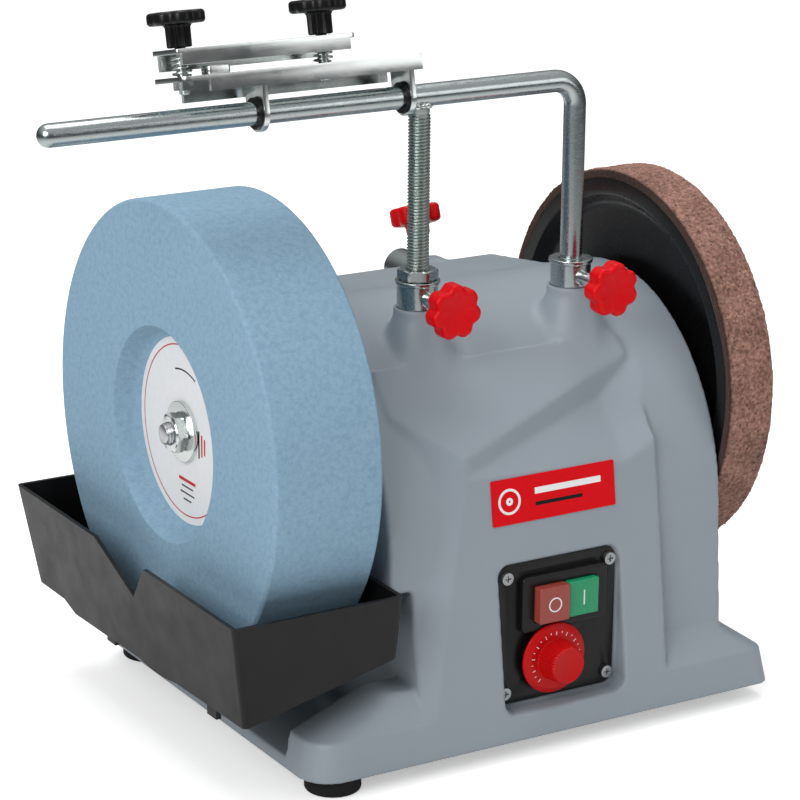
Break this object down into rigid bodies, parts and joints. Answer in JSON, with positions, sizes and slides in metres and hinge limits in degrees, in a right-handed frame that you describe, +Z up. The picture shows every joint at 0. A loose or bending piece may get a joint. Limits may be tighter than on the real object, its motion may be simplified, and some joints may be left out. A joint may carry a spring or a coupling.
{
  "type": "wet grinding sharpener",
  "caption": "Bench-top wet sharpener: large blue stone in a water tray, leather honing wheel, control panel and a raised tool bar with a clamp jig.",
  "frame": {"origin": "bottom centre of the bounding box, on the bench", "axes": "+X along the shaft from the stone to the leather wheel, -Y towards the user, +Z up"},
  "size_m": [0.413, 0.264, 0.4028],
  "materials": {
    "housing_plastic": "satin moulded shell, light blue-grey",
    "black_plastic": "satin moulded black",
    "red_plastic": "glossy moulded red",
    "green_plastic": "glossy moulded green",
    "red_button": "glossy translucent red",
    "red_foil": "printed foil badge",
    "rubber": "black rubber",
    "zinc_steel": "bright zinc-plated steel",
    "chromed_steel": "chromed steel",
    "dark_steel": "plain steel",
    "abrasive_stone": "fine blue-grey abrasive",
    "label_paper": "printed label",
    "suede_leather": "rough red-brown leather",
    "copper": "enamelled winding",
    "board": "circuit board",
    "bronze": "sintered bronze"
  },
  "bodies": {
    "machine": {"housing": "housing_plastic", "base_plate": "dark_steel", "rubber_feet": "rubber", "foot_screws": "zinc_steel", "shaft_bushes": "bronze", "front_sleeves": "chromed_steel", "rear_sleeves": "chromed_steel", "panel_plate": "black_plastic", "panel_screws": "zinc_steel", "switch_body": "black_plastic", "potentiometer": "dark_steel", "control_board": "board", "badge": "red_foil", "cable_gland": "black_plastic", "pivot_rod": "zinc_steel", "pivot_brackets": "dark_steel", "cradle_spring": "zinc_steel"},
    "spindle": {"main_shaft": "zinc_steel", "grinding_stone": "abrasive_stone", "stone_label": "label_paper", "stone_washer": "zinc_steel", "stone_nut": "zinc_steel", "inner_flange": "zinc_steel", "retaining_rings": "dark_steel", "drive_wheel": "black_plastic", "drive_tyre": "rubber", "leather_wheel_hub": "black_plastic", "leather_band": "suede_leather", "leather_wheel_nut": "zinc_steel"},
    "motor": {"motor_cradle": "dark_steel", "motor_can": "dark_steel", "motor_end_bells": "zinc_steel", "stator": "copper"},
    "rotor": {"rotor_core": "dark_steel", "motor_shaft": "zinc_steel", "drive_pinion": "dark_steel"},
    "tray": {"water_tray": "black_plastic"},
    "support": {"support_bar": "chromed_steel", "threaded_leg": "zinc_steel"},
    "height_nut_body": {"height_nut": "chromed_steel"},
    "jig_carrier": {"jig_bushes": "black_plastic"},
    "jig": {"jig_base_plate": "zinc_steel", "jig_stop": "zinc_steel", "jig_springs": "zinc_steel"},
    "clamp": {"jig_clamp_bar": "zinc_steel"},
    "clamp_knob_left": {"jig_knob_left": "black_plastic", "jig_screw_left": "zinc_steel"},
    "clamp_knob_right": {"jig_knob_right": "black_plastic", "jig_screw_right": "zinc_steel"},
    "off_button": {"button_off": "red_button"},
    "on_button": {"button_on": "green_plastic"},
    "dial": {"speed_dial": "red_plastic"},
    "front_lock_left": {"front_lock_knob_left": "red_plastic", "front_lock_stud_left": "zinc_steel"},
    "front_lock_right": {"front_lock_knob_right": "red_plastic", "front_lock_stud_right": "zinc_steel"},
    "rear_lock_left": {"rear_lock_knob_left": "red_plastic", "rear_lock_stud_left": "zinc_steel"},
    "rear_lock_right": {"rear_lock_knob_right": "red_plastic", "rear_lock_stud_right": "zinc_steel"}
  },
  "joints": [
    {"name": "spindle_spin", "type": "hinge", "parent": "machine", "child": "spindle", "pos_m": [0, 0, 0.1695], "axis": [1, 0, 0], "continuous": true},
    {"name": "motor_swing", "type": "hinge", "parent": "machine", "child": "motor", "pos_m": [0.0645, 0.075, 0.0775], "axis": [1, 0, 0], "range_deg": [0, 4], "stiffness_Nm_per_rad": 40, "springref_deg": -8.59, "deforming": ["cradle_spring"]},
    {"name": "rotor_spin", "type": "hinge", "parent": "motor", "child": "rotor", "pos_m": [0.0645, 0.02815, 0.12074], "axis": [1, 0, 0], "continuous": true},
    {"name": "tray_lift", "type": "slide", "parent": "machine", "child": "tray", "axis": [0, 0, 1], "range_m": [0, 0.004]},
    {"name": "height_nut_turn", "type": "hinge", "parent": "machine", "child": "height_nut_body", "pos_m": [0.0091, -0.048, 0.2515], "axis": [0, 0, 1], "range_deg": [-6172, 10287]},
    {"name": "support_slide", "type": "slide", "parent": "machine", "child": "support", "axis": [0, 0, 1], "range_m": [-0.03, 0.05]},
    {"name": "jig_slide", "type": "slide", "parent": "support", "child": "jig_carrier", "axis": [1, 0, 0], "range_m": [-0.1, 0]},
    {"name": "jig_tilt", "type": "hinge", "parent": "jig_carrier", "child": "jig", "pos_m": [-0.0435, -0.048, 0.347], "axis": [1, 0, 0], "range_deg": [-60, 60]},
    {"name": "clamp_slide", "type": "slide", "parent": "jig", "child": "clamp", "axis": [0, 0.2079, 0.9781], "range_m": [-0.00105, 0.00294], "deforming": ["jig_springs"]},
    {"name": "clamp_knob_left_turn", "type": "hinge", "parent": "clamp", "child": "clamp_knob_left", "pos_m": [-0.1255, -0.03927, 0.38808], "axis": [0, 0.2079, 0.9781], "range_deg": [-380, 1060]},
    {"name": "clamp_knob_right_turn", "type": "hinge", "parent": "clamp", "child": "clamp_knob_right", "pos_m": [-0.0455, -0.03927, 0.38808], "axis": [0, 0.2079, 0.9781], "range_deg": [-380, 1060]},
    {"name": "front_lock_left_turn", "type": "hinge", "parent": "machine", "child": "front_lock_left", "pos_m": [0.0091, -0.075, 0.24], "axis": [0, -1, 0], "range_deg": [0, 720]},
    {"name": "front_lock_right_turn", "type": "hinge", "parent": "machine", "child": "front_lock_right", "pos_m": [0.1065, -0.075, 0.24], "axis": [0, -1, 0], "range_deg": [0, 720]},
    {"name": "rear_lock_left_turn", "type": "hinge", "parent": "machine", "child": "rear_lock_left", "pos_m": [0.0091, 0.1145, 0.23921], "axis": [0, 0.342, 0.9397], "range_deg": [0, 720]},
    {"name": "rear_lock_right_turn", "type": "hinge", "parent": "machine", "child": "rear_lock_right", "pos_m": [0.1065, 0.1145, 0.23921], "axis": [0, 0.342, 0.9397], "range_deg": [0, 720]},
    {"name": "off_press", "type": "slide", "parent": "machine", "child": "off_button", "axis": [0, 1, 0], "range_m": [0, 0.0025], "stiffness_N_per_m": 800, "springref_m": -0.001},
    {"name": "on_press", "type": "slide", "parent": "machine", "child": "on_button", "axis": [0, 1, 0], "range_m": [0, 0.0025], "stiffness_N_per_m": 800, "springref_m": -0.001},
    {"name": "dial_turn", "type": "hinge", "parent": "machine", "child": "dial", "pos_m": [0.0547, -0.12, 0.05], "axis": [0, 1, 0], "range_deg": [0, 270]}
  ],
  "couplings": [
    {"joint": "rotor_spin", "follows": "spindle_spin", "ratio": -8.3333},
    {"joint": "height_nut_turn", "follows": "support_slide", "rad_per_m": 3590.4},
    {"joint": "clamp_knob_left_turn", "follows": "clamp_slide", "rad_per_m": 6283.2},
    {"joint": "clamp_knob_right_turn", "follows": "clamp_slide", "rad_per_m": 6283.2}
  ]
}
